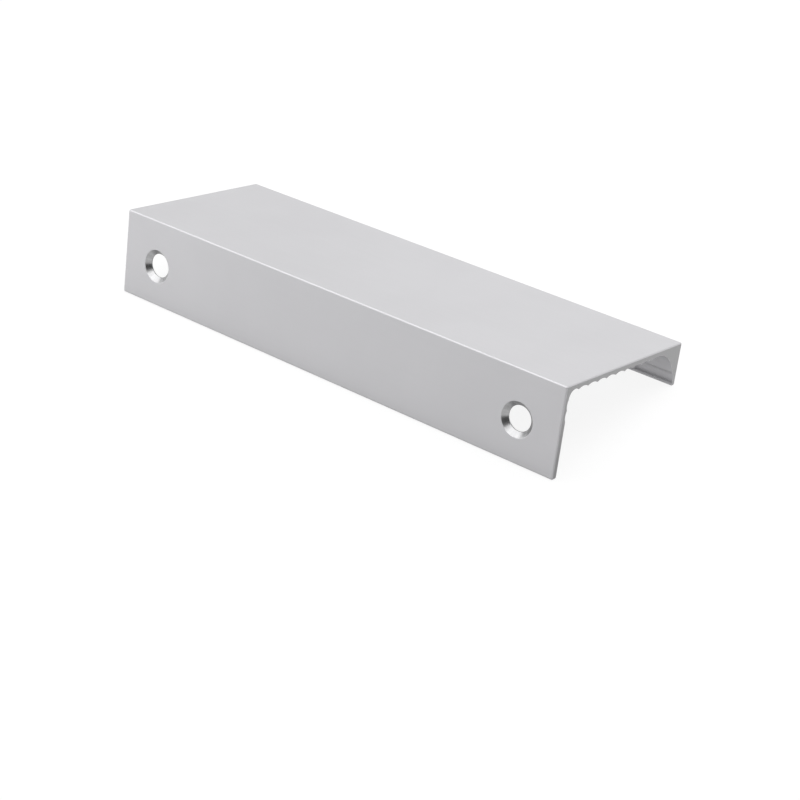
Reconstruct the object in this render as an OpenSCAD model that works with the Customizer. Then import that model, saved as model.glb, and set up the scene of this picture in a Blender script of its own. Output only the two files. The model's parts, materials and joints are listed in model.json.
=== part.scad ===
// Edge pull: one length of extruded aluminium profile. The flange is screwed to the back of
// a door or drawer front, the plate laps over the top edge, and the lip hangs down in front
// of the fingers. The inner side is fluted.
//
// X runs along the door's edge, Y from the flange towards the lip, Z up. The origin is at the
// centre of the row of screw holes, on the flange's inner face.

/* [Overall] */
// Length along the door's edge
pull_length = 120; // [60:1:300]
// Depth from the flange's outer face to the lip's outer face
pull_depth = 40.7; // [25:0.1:80]
// Height of the flange, from the top face down
flange_height = 19.4; // [16:0.1:40]
// Height of the lip, from the top face down
lip_height = 9.4; // [8:0.1:16]

/* [Walls] */
// Thickness of the flange
flange_t = 1.3; // [1.3:0.1:4]
// Thickness of the plate, measured at the ridges between its flutes
plate_t = 1.55; // [1:0.05:3]
// Thickness of the lip at its tip
tip_t = 1.1; // [1:0.05:1.6]
// Thickness of the lip level with the centre of the hollow at its root
root_t = 1.6; // [1.55:0.05:4]

/* [Rounding] */
// Radius of the outer long edges
edge_r = 0.4; // [0.1:0.05:0.45]
// Radius of the hollow in the corner between flange and plate
corner_r = 1.8; // [1.2:0.1:3]
// Radius of the hollow at the root of the lip
root_r = 7.4; // [4:0.1:8]

/* [Flutes] */
// Width of one flute under the plate and behind the lip
flute_w = 3.1; // [2:0.1:5]
// Depth of those flutes, and of the two hollows beside them
flute_depth = 0.4; // [0.1:0.05:0.6]
// Width of one flute on the flange
flange_flute_w = 2.2; // [1.5:0.1:4]
// Depth of the flutes on the flange
flange_flute_depth = 0.25; // [0.1:0.05:0.5]
// Drop from the top face to the ridge where the lip's root hollow ends
lip_ridge_drop = 6.1; // [4:0.05:7]
// Height of the plain tip below the lip's last flute
plain_tip = 0.8; // [0.5:0.05:1.5]

/* [Screw holes] */
// Number of screw holes
hole_count = 2; // [2:1:4]
// Distance from each end of the pull to the nearest hole's centre
end_to_hole = 10; // [6:0.5:20]
// Drop from the top face to the holes' centres
hole_drop = 10.4; // [9:0.1:14]
// Diameter of each hole where it is plain
bore_d = 5.3; // [5:0.1:7]
// Diameter of the countersink at the flange's outer face
countersink_d = 7.5; // [6:0.1:7.8]
// Full angle of the countersink
countersink_angle = 90; // [82:1:120]
// Metal between the flange's lowest flute and the top of the holes
flute_to_hole = 0.3; // [0.1:0.1:2]

/* [Hidden] */
$fn = 96;
// How far the ridges stand back from the face that they lie in
ridge_relief = 0.03;
// How far a cutting shape runs past the metal
past = 1;

// The section is drawn with its origin where the flange's outer face would meet the top
// face: x is the depth towards the lip and y the height, so the metal lies below zero.
flute_level = plate_t - flute_depth;
corner_at = [flange_t + corner_r, -(flute_level + corner_r)];
root_at = [pull_depth - root_t - root_r, -(flute_level + root_r)];

// Half the width that a circle has at a distance from its centre
function half_chord(r, distance) = sqrt(r * r - distance * distance);

// The ridges at which the runs of flutes begin and end, from the flange round to the lip
flange_low = [flange_t, -(hole_drop - bore_d / 2 - flute_to_hole)];
flange_high = [flange_t, corner_at.y];
plate_first = [corner_at.x + half_chord(corner_r, corner_r - flute_depth), -plate_t];
plate_last = [root_at.x - half_chord(root_r, root_r - flute_depth), -plate_t];
lip_high = [root_at.x + half_chord(root_r, root_at.y + lip_ridge_drop), -lip_ridge_drop];
lip_low = [pull_depth - tip_t, -(lip_height - plain_tip)];

// One flute between two ridges: the part of a circle that lies the given depth behind their
// line, with the metal on the left of the way from the first ridge to the second
module flute(from, to, depth) {
    run = to - from;
    chord = norm(run);
    r = (chord * chord / 4 + depth * depth) / (2 * depth);
    translate(from) rotate(atan2(run.y, run.x)) intersection() {
        translate([chord / 2, depth + ridge_relief - r]) circle(r = r);
        translate([-past, -depth]) square([chord + 2 * past, 2 * depth + past]);
    }
}

// Equal flutes side by side, as many of about the given width as fill the run
module flute_run(from, to, width, depth) {
    count = max(1, round(norm(to - from) / width));
    step = (to - from) / count;
    for (i = [0 : count - 1]) flute(from + i * step, from + (i + 1) * step, depth);
}

// The open space under the plate, as far as the ridges, and the space below the lip
module space_inside() {
    polygon([
        [flange_t, -flange_height - past],
        flange_low,
        flange_high,
        plate_first,
        plate_last,
        lip_high,
        lip_low,
        [pull_depth - tip_t, -lip_height],
        [pull_depth + past, -lip_height],
        [pull_depth + past, -flange_height - past],
    ]);
}

// What the flutes and the two larger hollows take out of the metal
module flutes_and_hollows() {
    translate(corner_at + ridge_relief * [-1, 1]) circle(r = corner_r);
    translate(root_at + ridge_relief * [1, 1]) circle(r = root_r);
    flute_run(flange_low, flange_high, flange_flute_w, flange_flute_depth);
    flute_run(plate_first, plate_last, flute_w, flute_depth);
    flute_run(lip_high, lip_low, flute_w, flute_depth);
}

// What rounding takes off an outer corner: side points from the corner into the metal
module corner_waste(corner, side) {
    translate(corner) difference() {
        square_between(-past * side, edge_r * side);
        translate(edge_r * side) circle(r = edge_r);
    }
}

// The rectangle that has two given points as opposite corners
module square_between(a, b) {
    translate([min(a.x, b.x), min(a.y, b.y)]) square([abs(a.x - b.x), abs(a.y - b.y)]);
}

// The profile's cross-section
module section() {
    difference() {
        translate([0, -flange_height]) square([pull_depth, flange_height]);
        space_inside();
        flutes_and_hollows();
        corner_waste([0, 0], [1, -1]);
        corner_waste([pull_depth, 0], [-1, -1]);
        corner_waste([0, -flange_height], [1, 1]);
        corner_waste([flange_t, -flange_height], [-1, 1]);
        corner_waste([pull_depth, -lip_height], [-1, 1]);
        corner_waste([pull_depth - tip_t, -lip_height], [1, 1]);
    }
}

// One countersunk hole, its axis along Y and its wide end at the flange's outer face
module screw_hole() {
    sink_depth = (countersink_d - bore_d) / 2 / tan(countersink_angle / 2);
    rotate([-90, 0, 0]) {
        translate([0, 0, -flange_t - past]) cylinder(d = bore_d, h = flange_t + 2 * past);
        translate([0, 0, -flange_t]) cylinder(d1 = countersink_d, d2 = bore_d, h = sink_depth);
        translate([0, 0, -flange_t - past]) cylinder(d = countersink_d, h = past);
    }
}

// The whole pull: the extruded section with its row of holes
module edge_pull() {
    hole_pitch = (pull_length - 2 * end_to_hole) / (hole_count - 1);
    color("silver") difference() {
        translate([0, -flange_t, hole_drop])
            rotate([90, 0, 90])
                linear_extrude(height = pull_length, center = true) section();
        for (i = [0 : hole_count - 1])
            translate([i * hole_pitch - pull_length / 2 + end_to_hole, 0, 0]) screw_hole();
    }
}

edge_pull();
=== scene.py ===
"""Edge pull: the finish, the floor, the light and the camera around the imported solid.

The visible pull is one mesh of the same drawn profile as the solid, with what the solid leaves
out: broken edges at the sawn ends, eased ridges between the flutes and eased rims at the holes.
The lengths of the pull and the camera are in millimetres, which MM turns into metres. Those of
the floor, the lamps and the cards are in metres.
"""

import json
import math

import bpy
import numpy as np
from mathutils import Matrix, Vector


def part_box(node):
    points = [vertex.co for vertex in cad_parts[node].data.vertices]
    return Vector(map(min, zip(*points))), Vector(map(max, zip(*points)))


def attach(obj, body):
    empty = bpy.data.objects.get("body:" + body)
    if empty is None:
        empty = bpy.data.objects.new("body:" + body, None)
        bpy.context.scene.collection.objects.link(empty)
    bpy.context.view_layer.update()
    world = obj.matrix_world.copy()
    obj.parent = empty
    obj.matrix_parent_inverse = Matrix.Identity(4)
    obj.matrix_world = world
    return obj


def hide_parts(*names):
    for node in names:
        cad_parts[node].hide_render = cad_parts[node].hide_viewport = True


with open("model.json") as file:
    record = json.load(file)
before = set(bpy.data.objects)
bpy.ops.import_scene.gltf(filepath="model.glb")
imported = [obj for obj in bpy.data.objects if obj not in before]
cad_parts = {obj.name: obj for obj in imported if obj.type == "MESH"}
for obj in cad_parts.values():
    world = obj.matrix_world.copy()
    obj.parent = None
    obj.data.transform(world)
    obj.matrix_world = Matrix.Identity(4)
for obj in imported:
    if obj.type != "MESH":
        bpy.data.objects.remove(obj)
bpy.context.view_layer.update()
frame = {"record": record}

MM = 0.001

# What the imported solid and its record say
LOW, HIGH = (np.array(corner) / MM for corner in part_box("edge_pull"))
PULL_LENGTH, PULL_DEPTH, FLANGE_HEIGHT = HIGH - LOW
SCREW_HOLES = next(m for m in frame["record"]["mounts"] if m["name"] == "screw_holes")["dims"]
HOLE_PITCH = SCREW_HOLES["spacing_x_mm"]
HOLE_COUNT = SCREW_HOLES["count"]
BORE_R = SCREW_HOLES["hole_r_mm"]

# Walls and radii of the drawn profile, as in the solid
LIP_HEIGHT = 9.4
FLANGE_T = 1.3
PLATE_T = 1.55
TIP_T = 1.1
ROOT_T = 1.6
EDGE_R = 0.4
CORNER_R = 1.8
ROOT_R = 7.4

# Flutes on the inner side, as in the solid
FLUTE_W = 3.1
FLUTE_DEPTH = 0.4
FLANGE_FLUTE_W = 2.2
FLANGE_FLUTE_DEPTH = 0.25
LIP_RIDGE_DROP = 6.1
PLAIN_TIP = 0.8
FLUTE_TO_HOLE = 0.3
RIDGE_RELIEF = 0.03

# Countersink, as in the solid: 90 degrees, so it narrows by as much as it deepens
COUNTERSINK_R = 3.75

# Eased edges, which only the visible mesh has
END_R = 0.3
END_INNER_R = 0.06
RIDGE_R = 0.25
FRONT_RIM_R = 0.2
RIM_R = 0.06
BORE_RIM_R = 0.08

# A flat counts as an arc of this radius where an eased ridge joins it to a flute
FLAT_R = 10000.0

# How finely the mesh is divided
ARC_STEP = math.radians(5)
RIDGE_STEPS = 6
EDGE_STEPS = 10
END_STEPS = 8
SIDE_STEPS = 24
PLATE_STEPS = 8
LIP_STEPS = 4
PANEL_RINGS = 6
SINK_RINGS = 6
RIM_STEPS = 4

# The panel that opens around a hole. A power below 1 crowds its rings towards the hole.
HOLE_PANEL_HALF_W = 4.8
PANEL_POWER = 0.7

# Material indices on the visible mesh
SATIN, SAWN, TURNED = range(3)


def left_of(direction):
    """The direction turned a quarter turn to the left."""
    return np.array((-direction[1], direction[0]))


def flutes(start, end, width, depth):
    """Hollows side by side between two ridges, with the metal on the left of the way.

    Each is a circle: its arc over the chord c stands d deep, so r = (c * c / 4 + d * d) / (2 * d).
    """
    count = max(1, round(float(np.hypot(*(end - start))) / width))
    step = (end - start) / count
    chord = np.hypot(*step)
    radius = (chord**2 / 4 + depth**2) / (2 * depth)
    back = left_of(step / chord) * (depth + RIDGE_RELIEF - radius)
    return [(start + (i + 0.5) * step + back, radius) for i in range(count)]


def hollows():
    """Every hollow on the inner side as (centre, radius), from the flange's foot to the lip's tip.

    The places are depth from the flange's outer face and height from the top face. The first
    and the last hollow are the two flats, as arcs of a very large radius.
    """
    def half_chord(radius, distance):
        """Half the chord that a circle of this radius has at this distance from its centre."""
        return math.sqrt(radius**2 - distance**2)

    level = PLATE_T - FLUTE_DEPTH
    corner = np.array((FLANGE_T + CORNER_R, -level - CORNER_R))
    root = np.array((PULL_DEPTH - ROOT_T - ROOT_R, -level - ROOT_R))
    flange_low = np.array((FLANGE_T, FLUTE_TO_HOLE + BORE_R - HIGH[2]))
    flange_high = np.array((FLANGE_T, corner[1]))
    plate_first = np.array((corner[0] + half_chord(CORNER_R, CORNER_R - FLUTE_DEPTH), -PLATE_T))
    plate_last = np.array((root[0] - half_chord(ROOT_R, ROOT_R - FLUTE_DEPTH), -PLATE_T))
    lip_high = np.array((root[0] + half_chord(ROOT_R, root[1] + LIP_RIDGE_DROP), -LIP_RIDGE_DROP))
    lip_low = np.array((PULL_DEPTH - TIP_T, PLAIN_TIP - LIP_HEIGHT))
    flange_flat = (np.array((FLANGE_T + FLAT_R, -FLANGE_HEIGHT / 2)), FLAT_R)
    tip_flat = (np.array((lip_low[0] - FLAT_R, -LIP_HEIGHT)), FLAT_R)
    return [
        flange_flat,
        *flutes(flange_low, flange_high, FLANGE_FLUTE_W, FLANGE_FLUTE_DEPTH),
        (corner + RIDGE_RELIEF * np.array((-1, 1)), CORNER_R),
        *flutes(plate_first, plate_last, FLUTE_W, FLUTE_DEPTH),
        (root + RIDGE_RELIEF * np.array((1, 1)), ROOT_R),
        *flutes(lip_high, lip_low, FLUTE_W, FLUTE_DEPTH),
        tip_flat,
    ]


def ridge_between(first, second):
    """Centre of the circle of radius RIDGE_R that touches two hollows from the metal between them.

    It lies where circles about the hollows' centres, larger by RIDGE_R, cross on the left.
    """
    (a, ra), (b, rb) = first, second
    ra, rb = ra + RIDGE_R, rb + RIDGE_R
    apart = np.hypot(*(b - a))
    way = (b - a) / apart
    along = (apart**2 + ra**2 - rb**2) / (2 * apart)
    return a + along * way + math.sqrt(ra**2 - along**2) * left_of(way)


def arc(centre, radius, start, end, steps):
    """Points centre + radius * (cos a, sin a) for angles a from start to end, and (cos a, sin a)."""
    angles = np.linspace(start, end, steps + 1)
    out = np.stack([np.cos(angles), np.sin(angles)], 1)
    return centre + radius * out, out


def angle_to(centre, point):
    """Direction of point seen from centre, in radians."""
    return math.atan2(*(point - centre)[::-1])


def straight(start, end, steps):
    """Evenly spaced points from start to end, with the normal on the left of the way."""
    share = np.linspace(0, 1, steps + 1)[:, None]
    way = (end - start) / np.hypot(*(end - start))
    return start + share * (end - start), np.tile(left_of(way), (steps + 1, 1))


def inner_side():
    """The fluted side from the lip's tip to the flange's foot: arcs into the metal and eased ridges.

    Each hollow turns about its centre from the ridge before to the ridge after it, and each
    ridge turns the other way about its own centre, so that they meet with one tangent.
    """
    dug = hollows()
    ridges = [ridge_between(a, b) for a, b in zip(dug, dug[1:])]
    runs = []
    for i, ridge in enumerate(ridges):
        before, after = dug[i], dug[i + 1]
        start = angle_to(ridge, before[0])
        turn = (angle_to(ridge, after[0]) - start) % (2 * math.pi)
        points, out = arc(ridge, RIDGE_R, start, start + turn, RIDGE_STEPS)
        runs.append((points, out))
        if i + 1 < len(ridges):
            centre, radius = after
            start = angle_to(centre, ridge)
            turn = (start - angle_to(centre, ridges[i + 1])) % (2 * math.pi)
            points, out = arc(centre, radius, start, start - turn, math.ceil(turn / ARC_STEP))
            runs.append((points, -out))
    return [(points[::-1], out[::-1]) for points, out in reversed(runs)]


def outline():
    """The whole section as points and normals, with the metal on the right of the way round.

    It goes up the flange's outer face, over the plate, down the lip, and back along the fluted
    side. It also gives how far each point is eased at the ends, which goes from END_R to
    END_INNER_R round the tip and back round the foot, and where the flange's inner flat starts.
    """
    foot, tip = -FLANGE_HEIGHT, -LIP_HEIGHT
    quarter = math.pi / 2

    def corner(x, z, start):
        """An outer edge: a quarter turn to the right, starting with the normal at this angle."""
        return arc(np.array((x, z)), EDGE_R, start, start - quarter, EDGE_STEPS)

    def level(x0, z0, x1, z1, steps=1):
        """A straight face from one place to the other."""
        return straight(np.array((x0, z0)), np.array((x1, z1)), steps)

    def count(runs):
        """How many points these runs give, as each ends where the next one starts."""
        return sum(len(points) - 1 for points, _ in runs)

    fluted = inner_side()
    tip_end, foot_start = fluted[0][0][0], fluted[-1][0][-1]
    outer_x, inner_x = PULL_DEPTH - EDGE_R, PULL_DEPTH - TIP_T + EDGE_R
    to_tip = [
        level(0, foot + EDGE_R, 0, -EDGE_R, SIDE_STEPS),
        corner(EDGE_R, -EDGE_R, 2 * quarter),
        level(EDGE_R, 0, outer_x, 0, PLATE_STEPS),
        corner(outer_x, -EDGE_R, quarter),
        level(PULL_DEPTH, -EDGE_R, PULL_DEPTH, tip + EDGE_R, LIP_STEPS),
        corner(outer_x, tip + EDGE_R, 0),
        level(outer_x, tip, inner_x, tip),
    ]
    round_tip = to_tip + [corner(inner_x, tip + EDGE_R, -quarter)]
    to_flat = round_tip + [level(PULL_DEPTH - TIP_T, tip + EDGE_R, *tip_end), *fluted]
    to_foot = to_flat + [level(*foot_start, FLANGE_T, foot + EDGE_R, SIDE_STEPS)]
    round_foot = to_foot + [corner(FLANGE_T - EDGE_R, foot + EDGE_R, 0)]
    runs = round_foot + [
        level(FLANGE_T - EDGE_R, foot, EDGE_R, foot),
        corner(EDGE_R, foot + EDGE_R, -quarter),
    ]
    points = np.concatenate([p[:-1] for p, _ in runs])
    normals = np.concatenate([n[:-1] for _, n in runs])
    knots = [count(part) for part in (to_tip, round_tip, to_foot, round_foot)]
    eased = np.interp(np.arange(len(points)), knots, [END_R, END_INNER_R, END_INNER_R, END_R])
    return points + (LOW[1], HIGH[2]), normals, eased, count(to_flat)


def stations(hole_places):
    """Places along X and the lean of the normals there, from a quarter turn back to one ahead."""
    turn = np.linspace(0, math.pi / 2, END_STEPS + 1)
    end_x = np.full_like(turn, PULL_LENGTH / 2)
    panels = [np.linspace(x - HOLE_PANEL_HALF_W, x + HOLE_PANEL_HALF_W, SIDE_STEPS + 1)
              for x in hole_places]
    gaps = [np.linspace(a[-1], b[0], SIDE_STEPS // 2 + 1)[1:-1] for a, b in zip(panels, panels[1:])]
    middle = np.sort(np.concatenate(panels + gaps))
    x = np.concatenate([-end_x, middle, end_x])
    lean = np.concatenate([-turn[::-1], np.zeros_like(middle), turn])
    return x, lean


def carried_section(hole_places):
    """The section carried along X: points and normals as grids [station, point of the section].

    At each end it goes round a quarter circle of its eased radius r: where its normals lean by
    a, it is r * (1 - sin a) short of the end and drawn in by r * (1 - cos a). The stations'
    places along X come first, and where the flange's inner flat starts comes last.
    """
    section, out, eased, inner_flat = outline()
    xs, lean = stations(hole_places)
    at_end = abs(xs) == PULL_LENGTH / 2
    short = np.outer(np.sign(xs) * at_end * (1 - np.sin(abs(lean))), eased)
    drawn_in = np.outer(at_end * (1 - np.cos(lean)), eased)
    at = section[None] - drawn_in[..., None] * out[None]
    points = np.concatenate([(xs[:, None] - short)[..., None], at], 2)
    leaning = np.broadcast_to(np.sin(lean)[:, None, None], at.shape[:2] + (1,))
    normals = np.concatenate([leaning, np.cos(lean)[:, None, None] * out[None]], 2)
    return xs, points, normals, inner_flat


def hole_wall():
    """One hole's wall as (radius, y, radial part and y part of the normal), from front to back.

    It turns by half a turn in all: rim, 45 degree countersink, second rim, bore, and then a
    quarter circle to the inner face.
    """
    lean = math.pi / 4
    reach = math.tan(lean / 2)
    sink_end = LOW[1] + COUNTERSINK_R - BORE_R
    front = np.linspace(0, lean, RIM_STEPS + 1)
    second = np.linspace(lean, 2 * lean, RIM_STEPS + 1)
    back = np.linspace(2 * lean, 4 * lean, 2 * RIM_STEPS + 1)
    edges = [
        (COUNTERSINK_R + reach * FRONT_RIM_R, LOW[1] + FRONT_RIM_R, FRONT_RIM_R, front),
        (BORE_R + RIM_R, sink_end + reach * RIM_R, RIM_R, second),
        (BORE_R + BORE_RIM_R, -BORE_RIM_R, BORE_RIM_R, back),
    ]
    runs = [np.stack([r - size * np.sin(a), y - size * np.cos(a), -np.sin(a), -np.cos(a)], 1)
            for r, y, size, a in edges]
    share = np.linspace(0, 1, SINK_RINGS + 1)[1:-1, None]
    cone = runs[0][-1] + share * (runs[1][0] - runs[0][-1])
    return np.concatenate([runs[0], cone, runs[1], runs[2]])


def hole_rings(place, border_front, border_back):
    """One hole's rings as points, normals and marks, between its two panels' borders.

    The front panel's rings go from its border to the hole's rim, then come the wall's, and the
    back panel's go out again. A ring has a point for each step of a panel's four sides, from
    the low left corner on. A point's mark is (cos t, distance from the hole's axis in mm,
    sin t) for the turn t round it.
    """
    wall = hole_wall()
    steps = 4 * SIDE_STEPS
    angles = np.arange(steps) * (2 * math.pi / steps) - 3 * math.pi / 4
    around = np.stack([np.cos(angles), np.zeros_like(angles), np.sin(angles)], 1)
    inward = np.array((0, 1, 0))
    centre = np.array((place, 0, 0))
    rings = centre + wall[:, None, :1] * around + wall[:, None, 1:2] * inward
    rings_out = wall[:, None, 2:3] * around + wall[:, None, 3:] * inward
    share = np.linspace(0, 1, PANEL_RINGS + 1)[1:-1, None, None] ** PANEL_POWER
    panel_front = border_front + share * (rings[0] - border_front)
    panel_back = border_back + share[::-1] * (rings[-1] - border_back)
    face_out = np.broadcast_to(-inward, panel_front.shape)
    points = np.concatenate([panel_front, rings, panel_back])
    normals = np.concatenate([face_out, rings_out, -face_out])
    from_centre = points - centre
    radius = np.hypot(from_centre[..., 0], from_centre[..., 2])
    marks = np.broadcast_to(around, points.shape) + radius[..., None] * inward
    return points, normals, marks


def ring_of(block):
    """The border of a grid of vertices [x, z], from its low left corner round by the right."""
    return np.concatenate([block[:-1, 0], block[-1, :-1], block[:0:-1, -1], block[0, :0:-1]])


def pull_mesh():
    """The pull: its section carried along X, closed at the ends, with the holes let in.

    Around each hole the cells of the two flat faces give way to the hole's rings, which are
    sewn to the borders that are left. The attribute "turning" holds the rings' marks, which
    the marks of the cutter follow.
    """
    hole_places = (np.arange(HOLE_COUNT) - (HOLE_COUNT - 1) / 2) * HOLE_PITCH
    xs, grid, grid_out, inner_flat = carried_section(hole_places)
    index = np.arange(grid[..., 0].size).reshape(grid.shape[:2])
    kept = np.ones(index[1:].shape, bool)
    points = [grid.reshape(-1, 3)]
    normals = [grid_out.reshape(-1, 3)]
    turning = [np.zeros_like(points[0])]
    faces, kinds = [], []
    for place in hole_places:
        first = int(np.argmin(abs(xs - (place - HOLE_PANEL_HALF_W))))
        span = slice(first, first + SIDE_STEPS + 1)
        front = ring_of(index[span, :SIDE_STEPS + 1])
        back = ring_of(index[span, inner_flat:inner_flat + SIDE_STEPS + 1][:, ::-1])
        for column in (0, inner_flat):
            kept[first:first + SIDE_STEPS, column:column + SIDE_STEPS] = False
        new, new_out, marks = hole_rings(place, points[0][front], points[0][back])
        start = sum(len(group) for group in points)
        loops = start + np.arange(new[..., 0].size).reshape(new.shape[:2])
        loops = np.concatenate([[front], loops, [back]])
        ahead = np.roll(loops, -1, axis=1)
        quads = np.stack([loops[:-1], ahead[:-1], ahead[1:], loops[1:]], 2)
        kind = np.full(quads.shape[:2], SATIN)
        kind[PANEL_RINGS + RIM_STEPS:-PANEL_RINGS - 2 * RIM_STEPS] = TURNED
        points.append(new.reshape(-1, 3))
        normals.append(new_out.reshape(-1, 3))
        turning.append(marks.reshape(-1, 3))
        faces.append(quads.reshape(-1, 4))
        kinds.append(kind.ravel())

    ahead = np.roll(index, -1, axis=1)
    faces.append(np.stack([index[:-1], index[1:], ahead[1:], ahead[:-1]], 2)[kept])
    kinds.append(np.full(len(faces[-1]), SATIN))
    ends = [index[0].tolist(), index[-1][::-1].tolist()]
    kinds.append(np.full(len(ends), SAWN))
    all_faces = [face for group in faces for face in group.tolist()] + ends

    mesh = bpy.data.meshes.new("edge_pull_drawn")
    mesh.from_pydata((np.concatenate(points) * MM).tolist(), [], all_faces)
    mesh.polygons.foreach_set("material_index", np.concatenate(kinds))
    mesh.polygons.foreach_set("use_smooth", np.ones(len(all_faces), bool))
    mesh.normals_split_custom_set_from_vertices(np.concatenate(normals).tolist())
    attribute = mesh.attributes.new("turning", "FLOAT_VECTOR", "POINT")
    attribute.data.foreach_set("vector", np.concatenate(turning).ravel())
    mesh.validate()
    return mesh


# Finishes
SATIN_TINT = (0.662, 0.658, 0.676)
# Sawn ends: a greyer finish, made darker still as painted shade on the ends
SAWN_TINT_WITH_SHADE = (0.44, 0.44, 0.445)
# Countersinks: bare metal, tinted far darker than it is, as painted shade in its reflections
TURNED_TINT_WITH_SHADE = (0.42, 0.42, 0.425)

# What a noise mostly runs between
NOISE_LOW = 0.3
NOISE_HIGH = 0.7


def added(tree, kind, sockets=None, **settings):
    """A new node with these settings, and with its sockets set to values or linked to others.

    A socket goes by its name, or by its number where several have the same name.
    """
    node = tree.nodes.new(kind)
    for name, setting in settings.items():
        setattr(node, name, setting)
    for name, value in (sockets or {}).items():
        if isinstance(value, bpy.types.NodeSocket):
            tree.links.new(value, node.inputs[name])
        else:
            node.inputs[name].default_value = value
    return node


def object_place(tree):
    """Where a point is on its object, in metres."""
    return added(tree, "ShaderNodeTexCoord").outputs["Object"]


def noise(tree, place, scale, stretch=(1, 1, 1), detail=2):
    """A noise over the place, drawn out where stretch is small."""
    mapping = added(tree, "ShaderNodeMapping", {"Vector": place, "Scale": stretch})
    sockets = {"Vector": mapping.outputs["Vector"], "Scale": scale, "Detail": detail}
    return added(tree, "ShaderNodeTexNoise", sockets).outputs["Fac"]


def ranged(tree, value, low, high):
    """A noise's value spread from low to high."""
    limits = {"From Min": NOISE_LOW, "From Max": NOISE_HIGH, "To Min": low, "To Max": high}
    return added(tree, "ShaderNodeMapRange", {"Value": value, **limits}).outputs["Result"]


def tinted(tree, value, tint):
    """A colour: the tint times a value."""
    sockets = {0: tint, "Scale": value}
    return added(tree, "ShaderNodeVectorMath", sockets, operation="SCALE").outputs["Vector"]


def bumped(tree, height, depth, strength, before=None):
    """The normal over a bump of the given depth in millimetres, on top of any bump before it."""
    sockets = {"Height": height, "Distance": depth * MM, "Strength": strength}
    if before is not None:
        sockets["Normal"] = before
    return added(tree, "ShaderNodeBump", sockets).outputs["Normal"]


def new_finish(name):
    """A new material and its node tree, with a Principled shader."""
    material = bpy.data.materials.new(name)
    material.use_nodes = True
    return material, material.node_tree


def set_finish(tree, color, roughness, normal, metallic):
    """Links what varies over the surface to the shader, and sets how metallic it is."""
    shader = tree.nodes["Principled BSDF"]
    tree.links.new(color, shader.inputs["Base Color"])
    tree.links.new(roughness, shader.inputs["Roughness"])
    tree.links.new(normal, shader.inputs["Normal"])
    shader.inputs["Metallic"].default_value = metallic


def satin_anodised():
    """Natural anodised aluminium: fine etched grain, with faint drawn lines along the length."""
    material, tree = new_finish("satin_anodised")
    place = object_place(tree)
    cloud = noise(tree, place, scale=60, detail=3)
    drawn = noise(tree, place, scale=3000, stretch=(0.008, 1, 1), detail=3)
    grain = noise(tree, place, scale=9000)
    lines = bumped(tree, drawn, depth=0.004, strength=0.15)
    set_finish(
        tree,
        color=tinted(tree, ranged(tree, cloud, low=0.985, high=1.015), SATIN_TINT),
        roughness=ranged(tree, drawn, low=0.40, high=0.46),
        normal=bumped(tree, grain, depth=0.006, strength=0.25, before=lines),
        metallic=0.55,
    )
    return material


def sawn_metal():
    """The sawn ends: greyer and rougher, with fine marks of the blade across the plate; part of their
    grey is painted shade.
    """
    material, tree = new_finish("sawn_metal")
    place = object_place(tree)
    marks = noise(tree, place, scale=5000, stretch=(1, 1, 0.04), detail=3)
    set_finish(
        tree,
        color=tinted(tree, ranged(tree, marks, low=0.93, high=1.07), SAWN_TINT_WITH_SHADE),
        roughness=ranged(tree, marks, low=0.42, high=0.52),
        normal=bumped(tree, marks, depth=0.008, strength=0.3),
        metallic=0.7,
    )
    return material


def turned_metal():
    """Bare bright metal in the countersinks, with the cutter's fine rings and its chatter; its tint
    is kept dark as painted shade in what it mirrors.
    """
    material, tree = new_finish("turned_metal")
    marks = added(tree, "ShaderNodeAttribute", attribute_name="turning").outputs["Vector"]
    rings = noise(tree, marks, scale=1, stretch=(0.1, 16, 0.1))
    chatter = noise(tree, marks, scale=1, stretch=(6, 0.4, 6), detail=3)
    across = bumped(tree, chatter, depth=0.02, strength=0.5)
    set_finish(
        tree,
        color=tinted(tree, ranged(tree, chatter, low=0.9, high=1.1), TURNED_TINT_WITH_SHADE),
        roughness=ranged(tree, rings, low=0.25, high=0.33),
        normal=bumped(tree, rings, depth=0.002, strength=0.5, before=across),
        metallic=1.0,
    )
    return material


def make_pull():
    """The visible pull, in place of the CAD node, with its materials in the indices' order."""
    pull = bpy.data.objects.new("edge_pull_drawn", pull_mesh())
    bpy.context.scene.collection.objects.link(pull)
    for material in (satin_anodised(), sawn_metal(), turned_metal()):
        pull.data.materials.append(material)
    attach(pull, "root")
    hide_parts("edge_pull")


# Floor: it touches the flange's foot and the lip's tip, so the pull rests on both. What is seen
# of it is white glow with a share of lit paper, which holds the shadow, and it lights the pull
# only as much as its bounce.
WHITE = (1, 1, 1, 1)
FLOOR_SIZE = 6.0
FLOOR_BOUNCE = 0.2
FLOOR_GLOW = 1.05

# The lit share, which fades out between two distances from the origin
SHADOW_SHARE = 0.16
SHADOW_IN_METAL = 0.35
SHADOW_NEAR = 0.15
SHADOW_FAR = 0.5

# Painted contact shadow: the glow that reflections see is dimmest along a line just inside the
# flange's foot
PAINTED_SHADOW_GLOW = 0.55
PAINTED_SHADOW_INSIDE = 0.006
PAINTED_SHADOW_REACH = 0.02


def empty_tree(holder):
    """The node tree of a material or a world, with its nodes taken out."""
    holder.use_nodes = True
    holder.node_tree.nodes.clear()
    return holder.node_tree


def seen_directly(tree):
    """1 for what the camera, a reflection or a view through glass meets, else 0."""
    path = added(tree, "ShaderNodeLightPath")
    value = path.outputs["Is Camera Ray"]
    for name in ("Is Glossy Ray", "Is Transmission Ray"):
        sockets = {0: value, 1: path.outputs[name]}
        value = added(tree, "ShaderNodeMath", sockets, operation="MAXIMUM").outputs["Value"]
    return value


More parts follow.
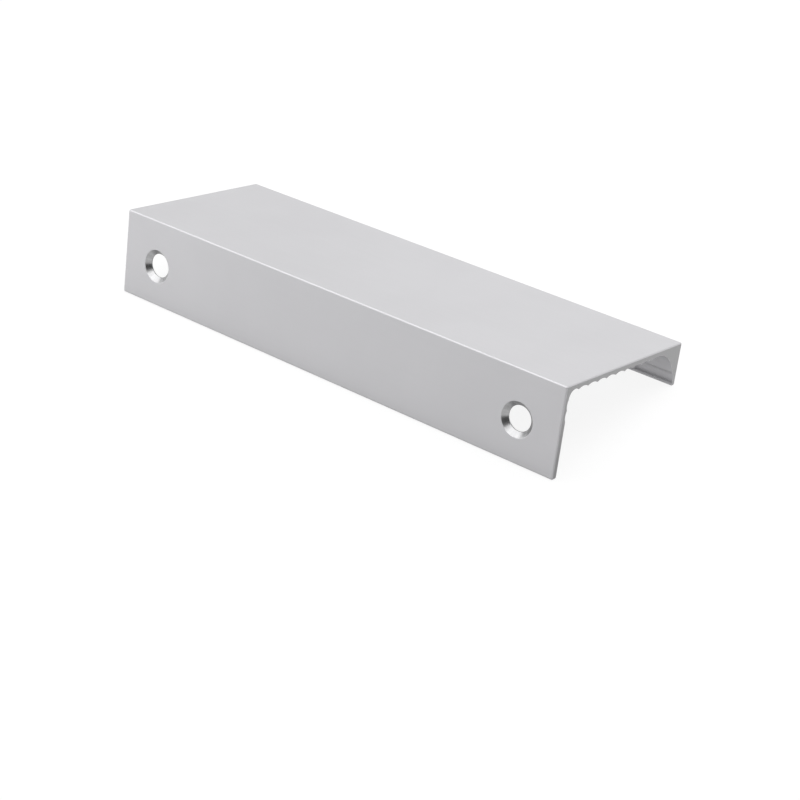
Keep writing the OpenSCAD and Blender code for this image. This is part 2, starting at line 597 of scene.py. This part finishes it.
def by_camera(tree, seen, reflected):
    """One value for what the camera sees and another for what reflections see."""
    camera_ray = added(tree, "ShaderNodeLightPath").outputs["Is Camera Ray"]
    sockets = {0: camera_ray, 1: seen - reflected, 2: reflected}
    return added(tree, "ShaderNodeMath", sockets, operation="MULTIPLY_ADD").outputs["Value"]


def by_distance(tree, centre, axes, near, far, low, high):
    """A value that goes smoothly from low, within near of the centre, to high, beyond far.

    Each axis counts in the distance by its factor in axes, and not at all where that is 0.
    """
    shift = [-part * factor for part, factor in zip(centre, axes)]
    sockets = {"Vector": object_place(tree), "Location": shift, "Scale": axes}
    away = added(tree, "ShaderNodeMapping", sockets).outputs["Vector"]
    distance = added(tree, "ShaderNodeVectorMath", {0: away}, operation="LENGTH").outputs["Value"]
    limits = {"From Min": near, "From Max": far, "To Min": low, "To Max": high}
    return added(tree, "ShaderNodeMapRange", {"Value": distance, **limits},
                 interpolation_type="SMOOTHSTEP").outputs["Result"]


def mixed(tree, share, first, second):
    """Mix of two shaders: the first where share is 0, the second where it is 1."""
    return added(tree, "ShaderNodeMixShader", {"Fac": share, 1: first, 2: second}).outputs[0]


def white_floor(painted_shadow_line):
    """White paper that keeps a soft shadow near the pull, and plain white further out.

    Reflections also see a painted contact shadow on it, darker near a line along X through the given
    place in (y, z).
    """
    material = bpy.data.materials.new("white_floor")
    tree = empty_tree(material)
    lit = added(tree, "ShaderNodeBsdfDiffuse", {"Color": WHITE}).outputs[0]
    grey = (FLOOR_BOUNCE, FLOOR_BOUNCE, FLOOR_BOUNCE, 1)
    bounce = added(tree, "ShaderNodeBsdfDiffuse", {"Color": grey}).outputs[0]
    # painted contact shadow: reflections see the glow dimmed near the flange's foot, the camera sees
    # plain glow
    painted_shadow_level = by_camera(tree, seen=FLOOR_GLOW, reflected=PAINTED_SHADOW_GLOW)
    level = by_distance(tree, centre=(0, *painted_shadow_line), axes=(0, 1, 1), near=0, far=PAINTED_SHADOW_REACH,
                        low=painted_shadow_level, high=FLOOR_GLOW)
    glow = added(tree, "ShaderNodeEmission", {"Strength": level}).outputs[0]
    at_pull = by_camera(tree, seen=SHADOW_SHARE, reflected=SHADOW_IN_METAL)
    share = by_distance(tree, centre=(0, 0, 0), axes=(1, 1, 1), near=SHADOW_NEAR, far=SHADOW_FAR,
                        low=at_pull, high=0)
    paper = mixed(tree, share, glow, lit)
    surface = mixed(tree, seen_directly(tree), bounce, paper)
    added(tree, "ShaderNodeOutputMaterial", {"Surface": surface})
    return material


def flat_piece(name, corners, material):
    """A new object: one face with four corners."""
    mesh = bpy.data.meshes.new(name)
    mesh.from_pydata(corners, [], [(0, 1, 2, 3)])
    mesh.materials.append(material)
    piece = bpy.data.objects.new(name, mesh)
    bpy.context.scene.collection.objects.link(piece)
    return piece


def make_floor():
    """A large square, tilted in the pull's frame as the pull lies on a table in the photo.

    It touches the rounded edges of the foot and the tip: the line between their centres, moved
    out by their radius.
    """
    foot = np.array((LOW[1] + FLANGE_T - EDGE_R, LOW[2] + EDGE_R))
    tip = np.array((HIGH[1] - EDGE_R, HIGH[2] - LIP_HEIGHT + EDGE_R))
    way = (tip - foot) / np.hypot(*(tip - foot))
    touch = (foot - EDGE_R * left_of(way)) * MM
    half = FLOOR_SIZE / 2
    near, far = touch - half * way, touch + half * way
    corners = [(-half, *near), (half, *near), (half, *far), (-half, *far)]
    # the painted contact shadow runs just inside the line where the foot touches
    floor = flat_piece("floor", corners, white_floor(touch + PAINTED_SHADOW_INSIDE * way))


# Light: a soft key overhead, a near low fill from the left and a dim world. Reflections see
# cards in place of the lamps.
WORLD_LEVEL = 0.24
CARD_DISTANCE = 1.2
CARD_PLATEAU = 0.5


def direction_at(azimuth, elevation):
    """Unit vector at this azimuth, from -Y towards +X, and this elevation, both in radians."""
    level = math.cos(elevation)
    return Vector((math.sin(azimuth) * level, -math.cos(azimuth) * level, math.sin(elevation)))


def make_world():
    """White for what is seen directly and in reflections, and dim as a light."""
    world = bpy.data.worlds.new("studio")
    bpy.context.scene.world = world
    tree = empty_tree(world)
    sockets = {"Color": WHITE, "Strength": WORLD_LEVEL}
    dim = added(tree, "ShaderNodeBackground", sockets).outputs[0]
    white = added(tree, "ShaderNodeBackground", {"Color": WHITE}).outputs[0]
    surface = mixed(tree, seen_directly(tree), dim, white)
    added(tree, "ShaderNodeOutputWorld", {"Surface": surface})


def make_softbox(name, towards, distance, size, level):
    """A square lamp that faces the pull, which it lights at level where it falls straight on it.

    A lamp of P watts lights a face d metres away by P / (pi * d * d), and a white face is then
    at P / (pi * pi * d * d), so P = level * pi * pi * d * d.
    """
    lamp = bpy.data.lights.new(name, "AREA")
    lamp.size = size
    lamp.energy = level * math.pi**2 * distance**2
    towards = Vector(towards).normalized()
    softbox = bpy.data.objects.new(name, lamp)
    softbox.location = towards * distance
    softbox.rotation_euler = towards.to_track_quat("Z", "Y").to_euler()
    softbox.visible_glossy = False
    bpy.context.scene.collection.objects.link(softbox)


def card_front(name, half_w, half_h, level):
    """A glow at this level that is clear at the card's ellipse and full from CARD_PLATEAU inwards."""
    material = bpy.data.materials.new(name)
    tree = empty_tree(material)
    share = by_distance(tree, centre=(0, 0, 0), axes=(1 / half_w, 1 / half_h, 0),
                        near=CARD_PLATEAU, far=1, low=1, high=0)
    clear = added(tree, "ShaderNodeBsdfTransparent").outputs[0]
    glow = added(tree, "ShaderNodeEmission", {"Strength": level}).outputs[0]
    added(tree, "ShaderNodeOutputMaterial", {"Surface": mixed(tree, share, clear, glow)})
    return material


def make_card(name, azimuth, elevation, wide, high, level):
    """A card that only reflections see, facing the pull: level is its brightness, where 1 is white.

    Its azimuth is from -Y towards +X, and it reaches wide / 2 to each side of that and high / 2
    up and down, all in degrees.
    """
    half_w, half_h = (math.tan(math.radians(a / 2)) * CARD_DISTANCE for a in (wide, high))
    corners = [(-half_w, -half_h, 0), (half_w, -half_h, 0), (half_w, half_h, 0), (-half_w, half_h, 0)]
    card = flat_piece(name, corners, card_front(name, half_w, half_h, level))
    towards = direction_at(math.radians(azimuth), math.radians(elevation))
    card.location = towards * CARD_DISTANCE
    card.rotation_euler = towards.to_track_quat("Z", "Y").to_euler()
    card.visible_camera = False
    card.visible_diffuse = False
    card.visible_transmission = False
    card.visible_shadow = False


def make_light():
    """The world, the two lamps, and a card for each tone that the metal mirrors.

    The bright card gives the crest and the lower side of the countersinks, the dark card their
    left side, the grey card the plate, and the side card their lower right.
    """
    make_world()
    make_softbox("key", towards=(0.1, 0.12, 1.0), distance=0.8, size=0.9, level=0.9)
    make_softbox("fill", towards=(-0.8, -0.58, 0.2), distance=0.26, size=0.24, level=0.47)
    make_card("bright_card", azimuth=-20, elevation=51, wide=110, high=44, level=2.46)
    make_card("dark_card", azimuth=46, elevation=6, wide=66, high=76, level=0.02)
    make_card("grey_card", azimuth=-118, elevation=26, wide=60, high=60, level=0.78)
    make_card("side_card", azimuth=-92, elevation=4, wide=56, high=50, level=1.6)


# Camera: where the photo was taken from, in the pull's frame
CAMERA_AZIMUTH = math.radians(37.085)
CAMERA_ELEVATION = math.radians(22.647)
CAMERA_ROLL = math.radians(-7.401)
CAMERA_DISTANCE = 396.054
CAMERA_TARGET = Vector((8.102, 16.664, -15.573))
LENS = 83.228

# The nearest and the furthest that it sees, in metres
CLIP_NEAR = 0.01
CLIP_FAR = 20


def make_camera():
    """The camera looks at the target from its azimuth and elevation, rolled about its own axis."""
    back = direction_at(CAMERA_AZIMUTH, CAMERA_ELEVATION)
    right = Vector((0, 0, 1)).cross(back).normalized()
    right = Matrix.Rotation(CAMERA_ROLL, 3, -back) @ right
    up = back.cross(right)
    data = bpy.data.cameras.new("camera")
    data.lens = LENS
    data.clip_start = CLIP_NEAR
    data.clip_end = CLIP_FAR
    camera = bpy.data.objects.new("camera", data)
    place = (CAMERA_TARGET + CAMERA_DISTANCE * back) * MM
    camera.matrix_world = Matrix.Translation(place) @ Matrix((right, up, back)).transposed().to_4x4()
    bpy.context.scene.collection.objects.link(camera)
    bpy.context.scene.camera = camera


make_pull()
make_floor()
make_light()
make_camera()
bpy.context.scene.view_settings.view_transform = "Standard"
